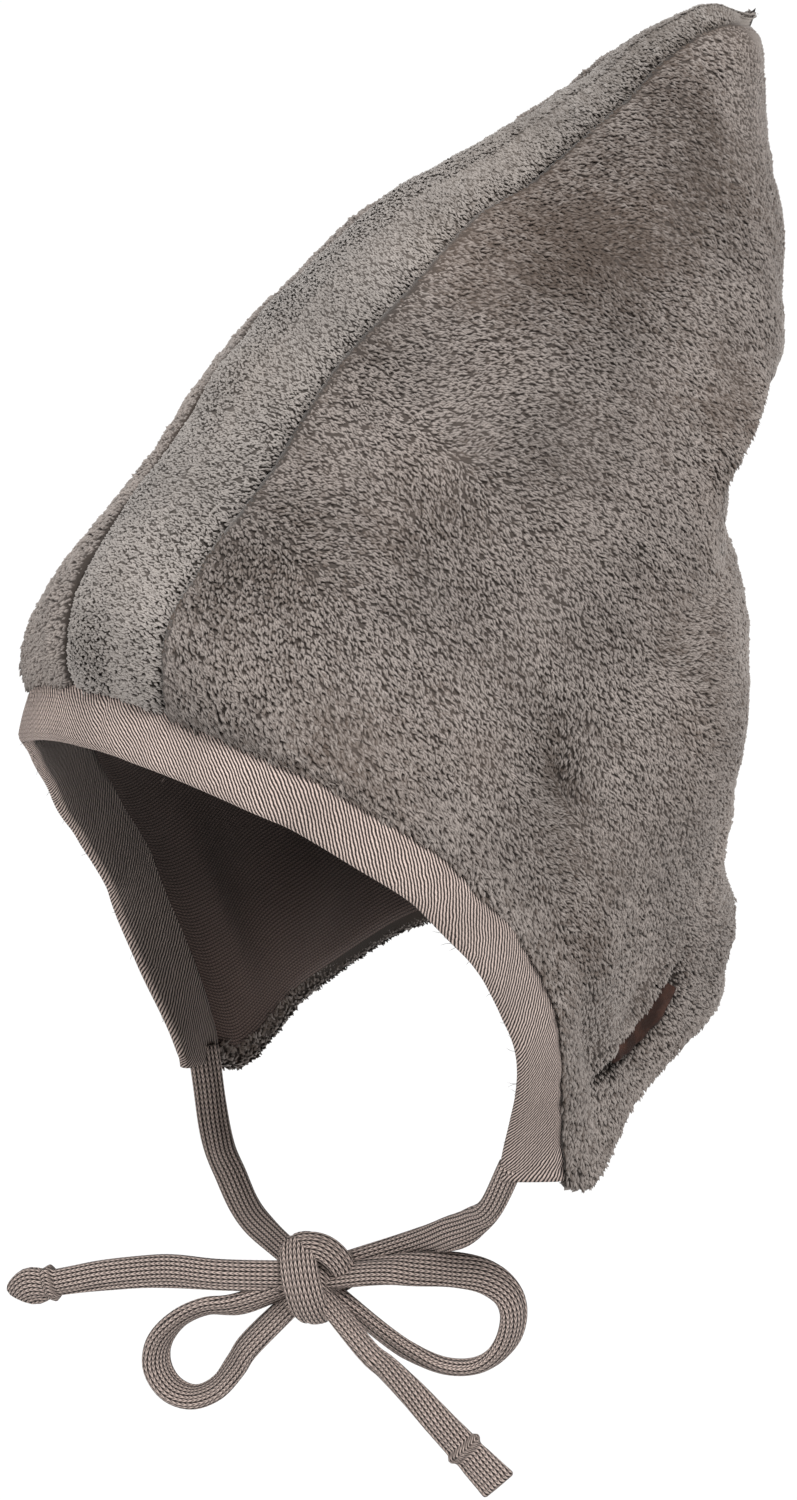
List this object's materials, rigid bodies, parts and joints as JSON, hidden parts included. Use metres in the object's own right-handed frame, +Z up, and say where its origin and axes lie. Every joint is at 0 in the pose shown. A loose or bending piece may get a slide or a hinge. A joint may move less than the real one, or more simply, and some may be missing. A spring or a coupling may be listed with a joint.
{
  "type": "baby pixie bonnet",
  "caption": "Pointed plush baby bonnet with ear flaps, a thin lining, a bound face opening and jersey strings tied in a bow under the chin.",
  "frame": {"origin": "on the inner face of the lining, on the ridge over the crown of the head that holds the bonnet up", "axes": "+Z up, -Y out through the face opening, +X towards the wearer's left"},
  "size_m": [0.1504, 0.2006, 0.3365],
  "materials": {
    "side_plush": "short pile taupe plush with nap",
    "gusset_plush": "smoother short pile plush",
    "lining_jersey": "fine ribbed jersey",
    "binding_jersey": "fine twilled jersey binding",
    "tie_jersey": "flat tubular jersey knit",
    "label_leather": "plain dark leather"
  },
  "bodies": {
    "root": {"side_panel_left": "side_plush", "side_panel_right": "side_plush", "centre_panel": "gusset_plush", "lining": "lining_jersey", "face_band": "binding_jersey", "side_label": "label_leather", "tie_left": "tie_jersey", "tie_right": "tie_jersey", "bow_knot": "tie_jersey", "bow_loop_left": "tie_jersey", "bow_loop_right": "tie_jersey", "tie_end_left": "tie_jersey", "tie_end_right": "tie_jersey", "end_knot_left": "tie_jersey", "end_knot_right": "tie_jersey"}
  },
  "joints": []
}
